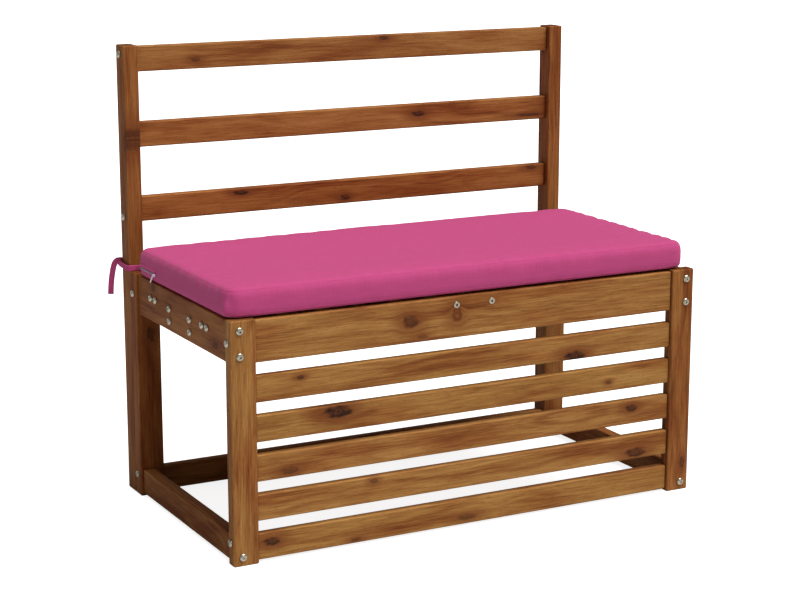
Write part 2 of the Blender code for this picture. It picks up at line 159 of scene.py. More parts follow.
def knot_group():
    """A branch that crosses the board: the grain swerves round it and turns to rings inside it."""
    takes = {"Place": "Vector", "Centre": "Vector", "Size": "Vector"}
    gives = {"Place": "Vector", "Heart": "Float", "Halo": "Float", "Crack": "Float"}
    tree, given, out = new_group("knot", takes, gives)
    rough = cloud(tree, given["Place"], (45, 90, 0), 1.5).outputs["Color"]
    centred = calc_vector(tree, "SUBTRACT", rough, (0.5, 0.5, 0.5))
    shake = calc_vector(tree, "MULTIPLY", centred, (0.8, 0.8, 0))
    offset = calc_vector(tree, "SUBTRACT", given["Place"], given["Centre"])
    shares = calc_vector(tree, "MULTIPLY", calc_vector(tree, "DIVIDE", offset, given["Size"]), (1, 1, 0))
    distance = calc_vector(tree, "LENGTH", calc_vector(tree, "ADD", shares, shake))
    heart = fade(tree, distance, 1.35, 0.55)
    squeeze = calc(tree, "MULTIPLY", fade(tree, distance, 3.0, 0.4), 0.85)
    pull = calc_vector(tree, "MULTIPLY", offset, (0, -1, 0))
    pulled = add(tree, "VectorMath", {0: pull, 3: squeeze}, operation="SCALE").outputs[0]
    ringed = calc(tree, "MULTIPLY", calc(tree, "MULTIPLY", distance, 0.02), heart)
    turned = add(tree, "CombineXYZ", {1: ringed}).outputs[0]
    place = calc_vector(tree, "ADD", calc_vector(tree, "ADD", given["Place"], pulled), turned)
    tree.links.new(place, out["Place"])
    tree.links.new(heart, out["Heart"])
    tree.links.new(fade(tree, distance, 4.0, 0.9), out["Halo"])
    spokes = cloud(tree, shares, (2.5, 5, 1), 3.0, 0.7).outputs[0]
    rings = calc(tree, "SINE", calc(tree, "MULTIPLY", distance, 15.0))
    split = fade(tree, calc(tree, "MULTIPLY_ADD", rings, 0.09, spokes), 0.44, 0.66)
    crack = calc(tree, "MULTIPLY", split, heart)
    bark = calc(tree, "MULTIPLY", fade(tree, distance, 0.35, 0.85), fade(tree, distance, 1.45, 0.95))
    broken = fade(tree, cloud(tree, shares, (0.8, 0.8, 1), 1.0).outputs[0], 0.36, 0.62)
    tree.links.new(calc(tree, "MAXIMUM", crack, calc(tree, "MULTIPLY", bark, broken)), out["Crack"])
    return tree


def edges_group():
    """How near a point lies to one of the board's long edges, and to its sawn ends."""
    takes = {"Place": "Vector", "Half Size": "Vector", "Width": "Float"}
    tree, given, out = new_group("edge_wear", takes, {"Edge": "Float", "End": "Float"})
    left = calc_vector(tree, "SUBTRACT", given["Half Size"], calc_vector(tree, "ABSOLUTE", given["Place"]))
    x, y, z = add(tree, "SeparateXYZ", {0: left}).outputs
    pairs = [calc(tree, "ADD", *pair) for pair in ((x, y), (y, z), (x, z))]
    nearest = calc(tree, "MINIMUM", calc(tree, "MINIMUM", pairs[0], pairs[1]), pairs[2])
    patchy = cloud(tree, given["Place"], (30, 120, 120), 3.0).outputs[0]
    worn = calc(tree, "MULTIPLY", fade(tree, nearest, given["Width"], 0.0005), fade(tree, patchy, 0.42, 0.62))
    tree.links.new(worn, out["Edge"])
    tree.links.new(fade(tree, x, 0.0012, 0.0002), out["End"])
    return tree


def ramp(tree, value, stops):
    node = add(tree, "ValToRGB", {0: value})
    node.color_ramp.elements.remove(node.color_ramp.elements[1])
    node.color_ramp.elements[0].position, node.color_ramp.elements[0].color = stops[0]
    for position, colour in stops[1:]:
        node.color_ramp.elements.new(position).color = colour
    return node.outputs[0]


grain = grain_group()
knot = knot_group()
edge_wear = edges_group()
boards_made = 0


def new_material(name):
    material = bpy.data.materials.new(name)
    material.use_nodes = True
    return material, material.node_tree, material.node_tree.nodes["Principled BSDF"]


def emboss(tree, shader, height, distance, strength):
    """Fine relief that is too small to be cut into the mesh."""
    bump = add(tree, "Bump", {"Height": height, "Distance": distance, "Strength": strength})
    tree.links.new(bump.outputs[0], shader.inputs["Normal"])


def acacia(name, low, high, tint, heart, knots):
    """Oiled acacia for one board: tint is its own shade, heart is where the log's middle lies
    across and through it, and a knot is its place and half size along and across the board, and
    how dark and split it is."""
    material, tree, shader = new_material(name)
    middle, half = (low + high) / 2, (high - low) / 2
    order = sorted(range(3), key=lambda axis: -half[axis])
    seen = add(tree, "TexCoord").outputs["Object"]
    parts = add(tree, "SeparateXYZ", {0: calc_vector(tree, "SUBTRACT", seen, middle)}).outputs
    place = add(tree, "CombineXYZ", {i: parts[order[i]] for i in range(3)}).outputs[0]
    size = [half[axis] for axis in order]
    edges = add(tree, "Group", {"Place": place, "Half Size": size, "Width": EDGE_WIDTH}, node_tree=edge_wear)
    found = []
    for along, across, length, width, _ in knots:
        inputs = {"Place": place, "Centre": (along, across, 0), "Size": (length, width, 1)}
        found.append(add(tree, "Group", inputs, node_tree=knot))
        place = found[-1].outputs["Place"]
    inputs = {"Place": place, "Heart": (0, *heart), "Seed": 1.7 * boards_made}
    lines = add(tree, "Group", inputs, node_tree=grain)
    tone = calc(tree, "MULTIPLY", lines.outputs["Bands"], 0.36)
    tone = calc(tree, "MULTIPLY_ADD", lines.outputs["Mottle"], 0.24, tone)
    tone = calc(tree, "MULTIPLY_ADD", lines.outputs["Streaks"], 0.40, tone)
    colour = ramp(tree, tone, ((0.38, LIGHT_BAND), (0.465, HONEY_BAND), (0.55, BROWN_BAND), (0.66, RED_BAND)))
    red = calc(tree, "MULTIPLY", fade(tree, lines.outputs["Mottle"], 0.46, 0.66), 0.75)
    colour = mix(tree, red, colour, mix(tree, 1.0, colour, RED_ZONE, "MULTIPLY"))
    colour = mix(tree, 1.0, colour, (*tint, 1), "MULTIPLY")
    fibre = ramp(tree, lines.outputs["Fibre"], ((0.3, (0.84, 0.81, 0.78, 1)), (0.7, (1.12, 1.12, 1.12, 1))))
    colour = mix(tree, 1.0, colour, fibre, "MULTIPLY")
    colour = mix(tree, calc(tree, "MULTIPLY", lines.outputs["Pores"], 0.45), colour, RED_BAND)
    colour = mix(tree, calc(tree, "MULTIPLY", edges.outputs["Edge"], 0.28), colour, WORN_EDGE)
    raised = calc(tree, "MULTIPLY", lines.outputs["Fibre"], 0.5)
    sunk = calc(tree, "MULTIPLY", lines.outputs["Pores"], -0.7)
    relief = calc(tree, "ADD", raised, sunk)
    for one, (*_, dark) in zip(found, knots):
        for part, strength, shade in (
            ("Halo", 0.55 + 0.3 * dark, KNOT_HALO),
            ("Heart", 0.08 + 0.72 * dark, KNOT_HEART),
            ("Crack", 0.9 * dark, KNOT_DARK),
        ):
            colour = mix(tree, calc(tree, "MULTIPLY", one.outputs[part], strength), colour, shade)
        relief = calc(tree, "SUBTRACT", relief, calc(tree, "MULTIPLY", one.outputs["Crack"], 2.0))
    colour = mix(tree, edges.outputs["End"], colour, mix(tree, 1.0, colour, (0.62, 0.55, 0.5, 1), "MULTIPLY"))
    tree.links.new(colour, shader.inputs["Base Color"])
    sheen = add(tree, "MapRange", {"Value": lines.outputs["Bands"], "To Min": 0.52, "To Max": 0.72})
    tree.links.new(sheen.outputs[0], shader.inputs["Roughness"])
    emboss(tree, shader, relief, GRAIN_RELIEF, 0.6)
    shader.inputs["Specular IOR Level"].default_value = 0.09
    return material


def new_piece(name, bm, material, body):
    """Makes the finished shape an object with smooth shading, which moves with a body."""
    mesh = bpy.data.meshes.new(name)
    bm.to_mesh(mesh)
    bm.free()
    mesh.materials.append(material)
    mesh.shade_smooth()
    piece = bpy.data.objects.new(name, mesh)
    bpy.context.scene.collection.objects.link(piece)
    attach(piece, body)
    return piece


def soften(bm, edges, radius, segments):
    """Rounds the given edges over."""
    bmesh.ops.bevel(
        bm, geom=edges, offset=radius, segments=segments, profile=0.5, affect="EDGES", material=-1
    )


def square_block(low, high):
    bm = bmesh.new()
    bmesh.ops.create_cube(bm, size=1)
    bmesh.ops.scale(bm, vec=high - low, verts=bm.verts)
    bmesh.ops.translate(bm, vec=(low + high) / 2, verts=bm.verts)
    return bm


def board(node, tint=(1, 1, 1), heart=(0.012, -0.075), knots=()):
    """A planed board in the place of a CAD node."""
    global boards_made
    boards_made += 1
    low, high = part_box(node)
    bm = square_block(low, high)
    soften(bm, bm.edges[:], ARRIS, 4)
    finish = acacia(f"acacia_{node}", low, high, tint, heart, knots)
    piece = new_piece(f"{node}_board", bm, finish, "frame")
    piece.modifiers.new("flat_faces", "WEIGHTED_NORMAL")
    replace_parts(piece, node)


board("front_stile_left", (1.0, 0.97, 0.95), (0.02, -0.09))
board("front_stile_right", (0.82, 0.66, 0.60), (-0.015, -0.06), [(-0.172, 0.010, 0.011, 0.005, 0.5)])
board("rear_stile_left", (0.80, 0.58, 0.52), (0.01, 0.07), [(0.104, 0.004, 0.014, 0.007, 0.6)])
board("rear_stile_right", (0.82, 0.68, 0.62), (-0.02, 0.08))
board("back_post_left", (0.82, 0.66, 0.61), (0.03, 0.05), [(0.264, -0.018, 0.020, 0.008, 0.5)])
board("back_post_right", (0.80, 0.62, 0.55), (-0.03, 0.06), [(0.399, 0.004, 0.007, 0.004, 0.8)])


# ---------------- Slatted front screen
# A broad apron and five slats of the same acacia stand level between the front stiles, a little
# behind their faces. The screen is what one sees first, and its boards carry the large knots.

SCREEN_KNOTS = {
    "front_apron": [
        (-0.136, 0.002, 0.014, 0.010, 0.55),
        (-0.111, -0.030, 0.010, 0.004, 0.2),
        (-0.037, 0.003, 0.010, 0.012, 0.0),
    ],
    "front_slat_5": [(-0.362, 0.012, 0.007, 0.003, 0.7), (0.226, -0.018, 0.019, 0.009, 1.0)],
    "front_slat_4": [(-0.286, 0.012, 0.023, 0.010, 1.0), (0.306, -0.006, 0.006, 0.003, 0.5)],
    "front_slat_3": [(-0.386, -0.012, 0.015, 0.006, 0.4), (0.362, 0.008, 0.012, 0.006, 0.8)],
    "front_slat_2": [(-0.213, 0.016, 0.007, 0.004, 0.3), (0.374, -0.012, 0.020, 0.008, 0.7)],
    "front_slat_1": [
        (-0.423, 0.007, 0.015, 0.007, 0.8),
        (-0.252, -0.018, 0.010, 0.003, 0.3),
        (-0.014, -0.011, 0.018, 0.005, 0.4),
    ],
}
for number, (node, knots) in enumerate(SCREEN_KNOTS.items()):
    board(node, (1.0, 0.96 + 0.02 * (number % 3), 0.94), (0.03 * cos(2.4 * number), -0.07), knots)


# ---------------- Side and rear boards
# The base is closed at the sides and the rear by an apron under the seat and a rail near the
# floor, let in between the stiles. They are redder boards than the screen's.

SIDE_KNOTS = [(0.14, 0.03, 0.010, 0.006, 0.6), (-0.165, -0.016, 0.012, 0.007, 0.5)]
for side in ("left", "right"):
    board(f"side_apron_{side}", (0.78, 0.60, 0.54), (0.02, 0.06), SIDE_KNOTS)
    board(f"side_stretcher_{side}", (0.84, 0.68, 0.64), (-0.01, 0.07))
board("rear_apron", (0.82, 0.68, 0.64), (0.03, -0.08), [(0.21, 0.01, 0.015, 0.008, 0.8)])
board("rear_bottom_rail", (0.80, 0.66, 0.62), (0.01, -0.06), [(-0.3, -0.008, 0.012, 0.005, 0.6)])


# ---------------- Seat
# Twelve narrow slats run from front to back on four bearers, which hang between the side aprons,
# two of them flat and two on edge. The cushion hides all of it until it is lifted.

for number in range(1, 5):
    board(f"seat_bearer_{number}", (0.84, 0.72, 0.68), (0.02 * cos(number), 0.06))
for number in range(1, 13):
    shade = 0.9 + 0.1 * sin(2.7 * number)
    board(f"seat_slat_{number}", (shade, 0.88 * shade, 0.84 * shade), (0.02 * cos(3.1 * number), 0.05))


# ---------------- Back rails
# Three rails of one width are bolted between the back posts, 13 mm behind the posts' faces. They
# are a little lighter than the posts.

TOP_RAIL_KNOTS = [(-0.346, -0.007, 0.009, 0.004, 0.4), (0.073, 0.018, 0.010, 0.004, 0.6)]
MIDDLE_RAIL_KNOTS = [(0.154, 0.004, 0.013, 0.005, 0.9), (0.426, -0.014, 0.030, 0.003, 0.6)]
LOW_RAIL_KNOTS = [
    (-0.253, 0.016, 0.014, 0.004, 0.9),
    (-0.018, -0.012, 0.009, 0.005, 0.7),
    (0.434, 0.018, 0.012, 0.004, 0.5),
]
board("back_rail_top", (0.90, 0.79, 0.78), (-0.02, -0.07), TOP_RAIL_KNOTS)
board("back_rail_middle", (0.94, 0.77, 0.74), (0.02, -0.08), MIDDLE_RAIL_KNOTS)
board("back_rail_low", (0.90, 0.68, 0.60), (-0.01, -0.06), LOW_RAIL_KNOTS)


# ---------------- Bolts and screws
# The joints are drawn up by zinc-plated furniture bolts with a low domed head and a hex socket, and
# screws with the same head hold the seat's bearers. A head stands on the wood.

HEAD_RADIUS = 0.0075
HEAD_HEIGHT = 0.004
FLAT_HEAD = (0.0062, 0.0012)  # radius and height of the two heads under the cushion's front edge
RIM_HEIGHT = 0.0007
SOCKET_RADIUS = 0.0026
SOCKET_DEPTH = 0.0024
SOCKET_LIP = 0.0002  # how far below the top of the dome the socket's edge lies
SHANK_RADIUS = 0.003
ROUND_STEPS = 24
ZINC = (0.56, 0.52, 0.42, 1)
ZINC_DULL = (0.34, 0.31, 0.25, 1)


def zinc():
    material, tree, shader = new_material("zinc_plate")
    place = add(tree, "TexCoord").outputs["Object"]
    blotch = cloud(tree, place, (260, 260, 260), 3.0, 0.6).outputs[0]
    fine = cloud(tree, place, (2600, 2600, 2600), 2.0).outputs[0]
    tree.links.new(ramp(tree, blotch, ((0.35, ZINC_DULL), (0.55, ZINC))), shader.inputs["Base Color"])
    rough = add(tree, "MapRange", {"Value": fine, "To Min": 0.22, "To Max": 0.48}).outputs[0]
    tree.links.new(rough, shader.inputs["Roughness"])
    emboss(tree, shader, fine, 0.00003, 0.4)
    shader.inputs["Metallic"].default_value = 1.0
    return material


zinc_plate = zinc()


def bolt(name, foot, outwards, length, radius=HEAD_RADIUS, height=HEAD_HEIGHT):
    """A bolt whose head stands on the wood at foot, and whose shank goes in by length."""
    bm = bmesh.new()
    rim = SOCKET_RADIUS * 1.22
    sweep = [radians(15 * i) for i in range(6)]
    reach, rise = radius - rim, height - RIM_HEIGHT
    dome = [(rim + reach * cos(turn), RIM_HEIGHT + rise * sin(turn)) for turn in reversed(sweep)]
    outline = [(rim, height), *dome, (radius - 0.0004, 0), (SHANK_RADIUS, 0)]
    outline += [(SHANK_RADIUS, 0.001 - length), (SHANK_RADIUS - 0.001, -length), (0, -length)]
    points = [bm.verts.new((out, 0, up)) for out, up in outline]
    line = [bm.edges.new(pair) for pair in zip(points, points[1:])]
    bmesh.ops.spin(
        bm,
        geom=points + line,
        axis=(0, 0, 1),
        cent=(0, 0, 0),
        angle=2 * pi,
        steps=ROUND_STEPS,
        use_merge=True,
    )
    bmesh.ops.remove_doubles(bm, verts=bm.verts, dist=0.00001)
    mouth = Matrix.Translation((0, 0, height - SOCKET_LIP))
    bmesh.ops.create_circle(bm, radius=SOCKET_RADIUS, segments=6, matrix=mouth)
    sides = [edge for edge in bm.edges if not edge.link_faces]
    bmesh.ops.subdivide_edges(bm, edges=sides, cuts=ROUND_STEPS // 6 - 1)
    loose = [edge for edge in bm.edges if not edge.link_faces]
    top = [edge for edge in bm.edges if len(edge.link_faces) == 1]
    bmesh.ops.bridge_loops(bm, edges=loose + top)
    walls = bmesh.ops.extrude_edge_only(bm, edges=[edge for edge in bm.edges if len(edge.link_faces) == 1])
    floor_points = [item for item in walls["geom"] if isinstance(item, bmesh.types.BMVert)]
    bmesh.ops.translate(bm, vec=(0, 0, -SOCKET_DEPTH), verts=floor_points)
    bmesh.ops.holes_fill(bm, edges=[edge for edge in bm.edges if len(edge.link_faces) == 1])
    bmesh.ops.recalc_face_normals(bm, faces=bm.faces)
    turn = Vector((0, 0, 1)).rotation_difference(outwards).to_matrix().to_4x4()
    bmesh.ops.transform(bm, matrix=Matrix.Translation(foot) @ turn, verts=bm.verts)
    piece = new_piece(name, bm, zinc_plate, "frame")
    piece.data.set_sharp_from_angle(angle=radians(40))
    return piece


for node in sorted(frame["nodes"]):
    if "_bolt_" not in node:
        continue
    low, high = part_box(node)
    outwards = Vector((-1, 0, 0)) if node.startswith("side") else Vector((0, -1, 0))
    reach = (high - low) @ Vector((abs(outwards.x), abs(outwards.y), 0))
    foot = (low + high) / 2 + outwards * (reach / 2 - HEAD_HEIGHT)
    head = FLAT_HEAD if node.startswith("seat") else (HEAD_RADIUS, HEAD_HEIGHT)
    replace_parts(bolt(f"{node}_zinc", foot, outwards, reach - HEAD_HEIGHT, *head), node)
    if node.startswith("side"):
        bolt(f"{node}_right_zinc", foot * Vector((-1, 1, 1)), -outwards, reach - HEAD_HEIGHT)

# From behind, two bolts draw each back post against its rear stile.
REAR_BOLT_LENGTH = 0.060
REAR_BOLT_HEIGHTS = (0.105, 0.385)
for side in ("left", "right"):
    low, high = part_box(f"back_post_{side}")
    for place, height in zip(("low", "high"), REAR_BOLT_HEIGHTS):
        foot = Vector(((low.x + high.x) / 2, high.y, height))
        bolt(f"rear_bolt_{side}_{place}", foot, Vector((0, 1, 0)), REAR_BOLT_LENGTH)

# Eight screws through each side apron hold the ends of the four bearers: side by side into the
# flat ones, and one above the other into those on edge.
SCREW_LENGTH = 0.040
PAIR_SPREAD = 0.012
for side, outwards in ((-1, Vector((-1, 0, 0))), (1, Vector((1, 0, 0)))):
    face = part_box("side_apron_left")[0].x * -side
    for number in range(1, 5):
        low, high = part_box(f"seat_bearer_{number}")
        middle = (low + high) / 2
        flat = high.y - low.y > high.z - low.z
        spread = Vector((0, PAIR_SPREAD, 0)) if flat else Vector((0, 0, PAIR_SPREAD))
        for end in (-1, 1):
            foot = Vector((face, middle.y, middle.z)) + end * spread
            word = "left" if side < 0 else "right"
            bolt(f"bearer_screw_{word}_{number}_{'a' if end < 0 else 'b'}", foot, outwards, SCREW_LENGTH)


# ---------------- Foam block
# Inside the cover is a block cut from one sheet of polyurethane foam, with soft open cells. The
# cover hides it, and it is a little smaller than the cover so that it never shows through.

FOAM_MARGIN = 0.011
FOAM_CREAM = (0.80, 0.74, 0.55, 1)
# The pores' colour is painted shade: the sunken hollows of the open cells are darkened.
FOAM_PORE_SHADE = (0.60, 0.52, 0.34, 1)


def rounded_block(low, high, corner, top, bottom):
    """A block with upright corners of one radius, and upper and lower rims of their own."""
    bm = square_block(low, high)
    upright = [edge for edge in bm.edges if abs(edge.verts[0].co.z - edge.verts[1].co.z) > 0.001]
    soften(bm, upright, corner, 6)
    for height, radius in ((high.z, top), (low.z, bottom)):
        rim = [edge for edge in bm.edges if all(abs(vert.co.z - height) < 0.0001 for vert in edge.verts)]
        soften(bm, rim, radius, 4)
    return bm


def foam_finish():
    material, tree, shader = new_material("cut_foam")
    place = add(tree, "TexCoord").outputs["Object"]
    cells = add(tree, "TexVoronoi", {"Vector": place, "Scale": 700.0}).outputs["Distance"]
    # Painted shade: the colour is darker in the pits of the cells, where their hollows would be shaded.
    tree.links.new(ramp(tree, cells, ((0.1, FOAM_PORE_SHADE), (0.5, FOAM_CREAM))), shader.inputs["Base Color"])
    emboss(tree, shader, cells, 0.0004, 0.7)
    shader.inputs["Roughness"].default_value = 0.95
    return material


cover_low, cover_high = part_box("cushion_cover")
inset = Vector((FOAM_MARGIN, FOAM_MARGIN, FOAM_MARGIN))
block = rounded_block(cover_low + inset, cover_high - inset, 0.015, 0.004, 0.004)
foam_surface = BVHTree.FromBMesh(block)
foam = new_piece("foam_block", block, foam_finish(), "cushion")
foam.modifiers.new("flat_faces", "WEIGHTED_NORMAL")
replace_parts(foam, "cushion_foam")


# ---------------- Cushion cover
# The cover is sewn from a top, a bottom and a boxing strip of plain-woven pink polyester. Stuffed,
# its panels swell between the seams. The thread draws the cloth in, so short puckers run from the
# upper seam, deepest at the two ends.

CORNER_RADIUS = 0.026
TOP_ROUNDING = 0.016
BOTTOM_ROUNDING = 0.009
SLACK = 0.0024  # how much smaller the cover is sewn than it is stuffed
VOXEL = 0.007
MOST_SWELL = 0.0034
SEAM_HOLD = (0.006, 0.034)  # the cloth is held at a rim up to the first distance, and free from the second
FOAM_GAP = 0.0012
SIM_FRAMES = 20
END_PUCKER_DEPTH, END_PUCKER_PITCH, END_PUCKER_REACH = 0.0052, 0.040, 0.050
LONG_PUCKER_DEPTH, LONG_PUCKER_PITCH, LONG_PUCKER_REACH = 0.0026, 0.058, 0.030
UPPER_FOLD_FADE = 0.024  # how far down from the top the upper seam's folds reach
LOWER_FOLD_FADE = 0.012
SIDE_WAVE = 0.0018  # unevenness of the boxing strip
TOP_WAVE = 0.0012
ZIP_LINE = (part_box("zip_tape")[0].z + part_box("zip_tape")[1].z) / 2
SEAT_CLEARANCE = 0.0003
PINK = (0.458, 0.059, 0.180, 1)
PINK_DEEP = (0.438, 0.053, 0.168, 1)
PINK_PALE = (0.480, 0.066, 0.194, 1)
THREAD_PITCH = 0.0009
STITCH_PITCH = 0.0032
WEAVE_RELIEF = 0.00025


def weave_group():
    """Plain weave on a flat map in metres: threads over and under, with slubs along them."""
    tree, given, out = new_group("plain_weave", {"Lay": "Vector"}, {"Threads": "Float", "Slubs": "Float"})
    u, v, _ = add(tree, "SeparateXYZ", {0: given["Lay"]}).outputs
    waves = [calc(tree, "SINE", calc(tree, "MULTIPLY", way, 2 * pi / THREAD_PITCH)) for way in (u, v)]
    tree.links.new(calc(tree, "MULTIPLY", *waves), out["Threads"])
    warp = cloud(tree, given["Lay"], (25, 900, 1), 2.0).outputs[0]
    weft = cloud(tree, given["Lay"], (900, 25, 1), 2.0).outputs[0]
    tree.links.new(calc(tree, "MULTIPLY", calc(tree, "ADD", warp, weft), 0.5), out["Slubs"])
    return tree


weave = weave_group()


def pink_cloth(name, stitch_rows=()):
    """Woven pink cloth that follows the piece's own map. A row of stitches runs along the map's
    first direction at each of the given places across it."""
    material, tree, shader = new_material(name)
    lay = add(tree, "UVMap", uv_map="lay").outputs[0]
    cloth = add(tree, "Group", {"Lay": lay}, node_tree=weave).outputs
    colour = ramp(tree, cloth["Slubs"], ((0.40, PINK_DEEP), (0.5, PINK), (0.60, PINK_PALE)))
    faded = cloud(tree, add(tree, "TexCoord").outputs["Object"], (9, 9, 9), 2.0).outputs[0]
    colour = mix(tree, calc(tree, "MULTIPLY", fade(tree, faded, 0.45, 0.75), 0.16), colour, PINK_PALE)
    relief = calc(tree, "MULTIPLY", cloth["Threads"], 0.35)
    relief = calc(tree, "MULTIPLY_ADD", cloth["Slubs"], 0.6, relief)
    along, across, _ = add(tree, "SeparateXYZ", {0: lay}).outputs
    for row in stitch_rows:
        off = calc(tree, "ABSOLUTE", calc(tree, "SUBTRACT", across, row))
        line = fade(tree, off, 0.0007, 0.0002)
        wave = calc(tree, "SINE", calc(tree, "MULTIPLY", along, 2 * pi / STITCH_PITCH))
        depth = calc(tree, "MULTIPLY_ADD", fade(tree, wave, -0.2, 0.1), -1.8, 2.2)
        relief = calc(tree, "SUBTRACT", relief, calc(tree, "MULTIPLY", line, depth))
        colour = mix(tree, calc(tree, "MULTIPLY", line, 0.5), colour, PINK_DEEP)
    tree.links.new(colour, shader.inputs["Base Color"])
    emboss(tree, shader, relief, WEAVE_RELIEF, 0.5)
    shader.inputs["Roughness"].default_value = 0.82
    shader.inputs["Specular IOR Level"].default_value = 0.1
    shader.inputs["Sheen Weight"].default_value = 0.14
    shader.inputs["Sheen Roughness"].default_value = 0.45
    shader.inputs["Sheen Tint"].default_value = (1.0, 0.62, 0.80, 1)
    return material


def evaluated(obj):
    return bpy.data.meshes.new_from_object(obj.evaluated_get(bpy.context.evaluated_depsgraph_get()))


def stuffed(bm, low, high):
    """Blows the sewn shape up like a filled cover, held at its seams and free between them."""
    mesh = bpy.data.meshes.new("sewn_cover")
    bm.to_mesh(mesh)
    bm.free()
    sewn = bpy.data.objects.new("sewn_cover", mesh)
    bpy.context.scene.collection.objects.link(sewn)
    remesh = sewn.modifiers.new("even_cells", "REMESH")
    remesh.mode = "VOXEL"
    remesh.voxel_size = VOXEL
    sewn.data = evaluated(sewn)
    sewn.modifiers.clear()
    before = [vert.co.copy() for vert in sewn.data.vertices]
    held = sewn.vertex_groups.new(name="seams")
    for index, place in enumerate(before):
        walls = sorted(min(place[axis] - low[axis], high[axis] - place[axis]) for axis in range(3))
        free = (walls[1] - SEAM_HOLD[0]) / (SEAM_HOLD[1] - SEAM_HOLD[0])
        held.add([index], 1 - min(1, max(0, free)), "REPLACE")
    cloth = sewn.modifiers.new("stuffing", "CLOTH")
    cloth.settings.quality = 4
    cloth.settings.use_pressure = True
    cloth.settings.uniform_pressure_force = 4.0
    cloth.settings.tension_stiffness = 18
    cloth.settings.bending_stiffness = 2.0
    cloth.settings.vertex_group_mass = "seams"
    cloth.settings.pin_stiffness = 6.0
    cloth.settings.effector_weights.gravity = 0
    for step in range(1, SIM_FRAMES + 1):
        bpy.context.scene.frame_set(step)
    after = [vert.co.copy() for vert in evaluated(sewn).vertices]
    sewn.modifiers.clear()
    bpy.context.scene.frame_set(1)
    for vert, old, new in zip(sewn.data.vertices, before, after):
        move = new - old
        vert.co = old + move.normalized() * MOST_SWELL * (1 - exp(-move.length / MOST_SWELL))
    shape = bmesh.new()
    shape.from_mesh(sewn.data)
    bpy.data.objects.remove(sewn)
    return shape


def pucker(place, pitch, seed):
    """0 on a ridge and 1 in the sharp valley between two, at an uneven pitch along a seam."""
    phase = place / pitch + 0.9 * noise.noise(Vector((place * 11, seed, 0.5)))
    strength = 0.55 + 0.9 * noise.noise(Vector((place * 6, seed, 3.7)))
    return max(0.15, strength) * (1 - abs(sin(pi * phase))) ** 1.4


def draw_in(bm, low, high):
    """The puckers along the upper and lower seams, and the slight unevenness of the panels."""
    ends = (("x", low.x, 1), ("x", high.x, -1), ("y", low.y, 1), ("y", high.y, -1))
    for vert in bm.verts:
        at = vert.co.copy()
        shift = Vector((0, 0, 0))
        below_top = max(0.0, high.z - at.z)
        upper = exp(-((below_top / UPPER_FOLD_FADE) ** 2))
        lower = exp(-(((at.z - low.z) / LOWER_FOLD_FADE) ** 2))
        for seed, (axis, wall, inwards) in enumerate(ends):
            off = abs(getattr(at, axis) - wall)
            along = at.y if axis == "x" else at.x
            depth, pitch, reach = LONG_PUCKER_DEPTH, LONG_PUCKER_PITCH, LONG_PUCKER_REACH
            if axis == "x":
                depth, pitch, reach = END_PUCKER_DEPTH, END_PUCKER_PITCH, END_PUCKER_REACH
            near = exp(-((off / reach) ** 1.5))
            fold = depth * near * pucker(along, pitch, seed * 5.3)
            into = Vector((inwards, 0, 0)) if axis == "x" else Vector((0, inwards, 0))
            shift += fold * upper * (Vector((0, 0, -1)) + 0.7 * into * exp(-((off / 0.012) ** 2)))
            wave = noise.noise(Vector((along * 26, seed * 7.1, 1.3)))
            shift += into * SIDE_WAVE * wave * exp(-((off / 0.008) ** 2)) * (1 - upper)
            shift += 0.5 * fold * lower * into * exp(-((off / 0.010) ** 2))
        shift.z += TOP_WAVE * upper * noise.noise(Vector((at.x * 7, at.y * 9, 8.8)))
        vert.co = at + shift


def fit_in_place(bm, low, high):
    """Keeps the cover flat on the stiles, inside its own box, and straight where the slider runs."""
    for vert in bm.verts:
        for axis in range(3):
            vert.co[axis] = min(max(vert.co[axis], low[axis] + SEAT_CLEARANCE), high[axis])
        level = exp(-(((vert.co.z - ZIP_LINE) / 0.012) ** 4))
        if vert.co.x < low.x + 0.012 and vert.co.y < high.y - CORNER_RADIUS:
            vert.co.x += (low.x + 0.0006 - vert.co.x) * level


def keep_off_foam(bm):
    """Lifts the cloth clear of the foam block wherever it would sink into it."""
    for vert in bm.verts:
        nearest, normal, _, _ = foam_surface.find_nearest(vert.co)
        clear = (vert.co - nearest).dot(normal)
        if clear < FOAM_GAP:
            vert.co += (FOAM_GAP - clear) * normal


def panel_map(bm):
    """Lays each panel's weave along the cushion, in metres: the top, the sides and the ends."""
    layer = bm.loops.layers.uv.new("lay")
    for face in bm.faces:
        sides = [abs(share) for share in face.normal]
        across = sides.index(max(sides))
        first, second = [axis for axis in range(3) if axis != across]
        for loop in face.loops:
            loop[layer].uv = (loop.vert.co[first], loop.vert.co[second])


slack = Vector((SLACK, SLACK, 0))
sewn_low, sewn_high = cover_low + slack, cover_high - slack - Vector((0, 0, SLACK))
sewn_block = rounded_block(sewn_low, sewn_high, CORNER_RADIUS, TOP_ROUNDING, BOTTOM_ROUNDING)
cover_shape = stuffed(sewn_block, sewn_low, sewn_high)
draw_in(cover_shape, cover_low, cover_high)
fit_in_place(cover_shape, cover_low, cover_high)
keep_off_foam(cover_shape)
cover_shape.normal_update()
panel_map(cover_shape)
cover_surface = BVHTree.FromBMesh(cover_shape)
cover = new_piece("cushion_cover_cloth", cover_shape, pink_cloth("pink_cover"), "cushion")
finer = cover.modifiers.new("finer", "SUBSURF")
finer.levels = finer.render_levels = 1
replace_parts(cover, "cushion_cover")


# ---------------- Seams
# The top and the bottom are joined to the boxing strip by one plain seam each, turned inwards. The
# turned edge stands a little proud as a thin roll of cloth.

SEAM_RADIUS = 0.0008
SEAM_SINK = 0.0005
SEAM_STEPS = 420


